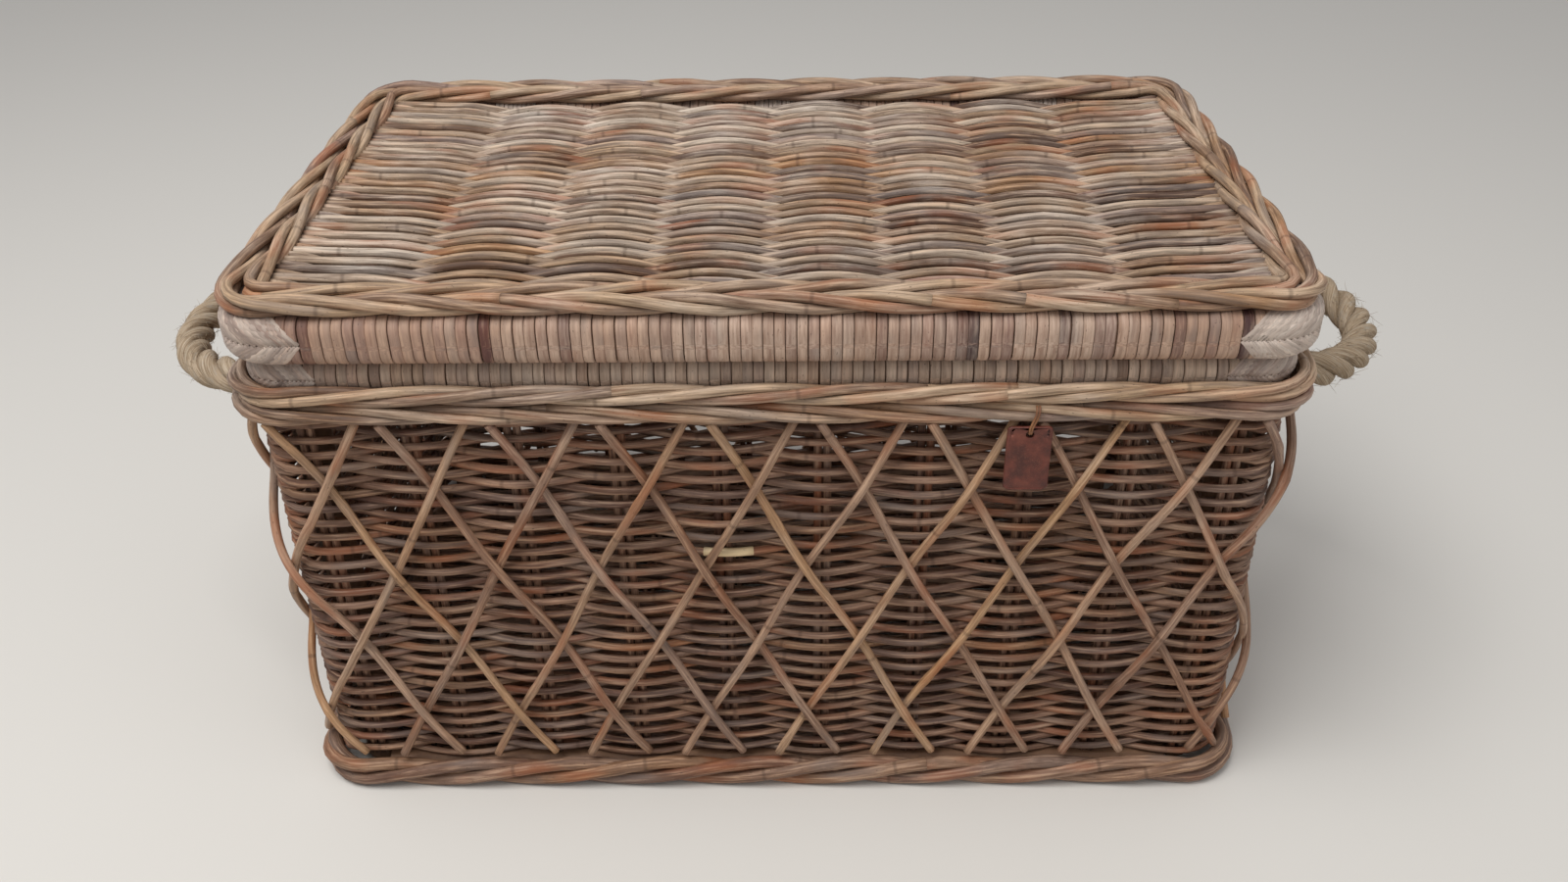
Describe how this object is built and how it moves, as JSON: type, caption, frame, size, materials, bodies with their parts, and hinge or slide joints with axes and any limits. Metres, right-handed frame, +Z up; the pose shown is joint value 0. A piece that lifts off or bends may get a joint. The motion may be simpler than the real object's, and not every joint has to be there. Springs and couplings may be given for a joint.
{
  "type": "laundry hamper with lid",
  "caption": "Rectangular woven rattan hamper with a hinged wrapped-frame lid, a diamond lattice of rods over the walls, twisted borders and rope side handles; holds laundry.",
  "frame": {"origin": "middle of the underside, on the surface that the hamper stands on", "axes": "+X to the right along the long side, -Y out of the front, +Z up"},
  "size_m": [0.9148, 0.4325, 0.4087],
  "materials": {
    "rattan": "weathered, satin",
    "cane_wrap": "dry split cane",
    "rope": "coarse laid hemp",
    "leather": "matte, worn"
  },
  "bodies": {
    "basket": {"woven_front": "rattan", "woven_back": "rattan", "woven_left": "rattan", "woven_right": "rattan", "woven_corners": "rattan", "front_stakes": "rattan", "back_stakes": "rattan", "left_stakes": "rattan", "right_stakes": "rattan", "corner_posts": "rattan", "base_long_poles": "rattan", "base_short_poles": "rattan", "base_weave": "rattan", "base_ribs": "rattan", "foot_border_front": "rattan", "foot_border_back": "rattan", "foot_border_left": "rattan", "foot_border_right": "rattan", "foot_border_turns": "rattan", "wale_upper": "rattan", "wale_lower": "rattan", "rim_front_pole": "rattan", "rim_back_pole": "rattan", "rim_left_pole": "rattan", "rim_right_pole": "rattan", "rim_front_wrap": "cane_wrap", "rim_back_wrap": "cane_wrap", "rim_left_wrap": "cane_wrap", "rim_right_wrap": "cane_wrap", "rim_corner_bindings": "cane_wrap", "rim_hinge_lashings": "cane_wrap", "hinge_knuckles": "rattan", "lattice_inner_rods": "rattan", "lattice_outer_rods": "rattan"},
    "lid": {"lid_front_pole": "rattan", "lid_back_pole": "rattan", "lid_left_pole": "rattan", "lid_right_pole": "rattan", "lid_front_wrap": "cane_wrap", "lid_back_wrap": "cane_wrap", "lid_left_wrap": "cane_wrap", "lid_right_wrap": "cane_wrap", "lid_back_corners": "cane_wrap", "lid_front_corners": "cane_wrap", "lid_weave": "rattan", "lid_ribs": "rattan", "lid_border_outer": "rattan", "lid_border_inner": "rattan", "lid_hinge_lashings": "cane_wrap"},
    "left_handle": {"left_rope_handle": "rope", "left_handle_knots": "rope"},
    "right_handle": {"right_rope_handle": "rope", "right_handle_knots": "rope"},
    "tag": {"leather_tag": "leather", "tag_lace": "leather"}
  },
  "joints": [
    {"name": "lid_hinge", "type": "hinge", "parent": "basket", "child": "lid", "pos_m": [0, 0.19887, 0.35976], "axis": [-1, 0, 0], "range_deg": [0, 95]},
    {"name": "left_handle_swing", "type": "hinge", "parent": "basket", "child": "left_handle", "pos_m": [-0.3275, 0, 0.301], "axis": [0, 1, 0], "range_deg": [-17, 25]},
    {"name": "right_handle_swing", "type": "hinge", "parent": "basket", "child": "right_handle", "pos_m": [0.3275, 0, 0.301], "axis": [0, -1, 0], "range_deg": [-17, 25]},
    {"name": "tag_swing", "type": "hinge", "parent": "basket", "child": "tag", "pos_m": [0.163, -0.2115, 0.33455], "axis": [-1, 0, 0], "range_deg": [0, 40]}
  ]
}
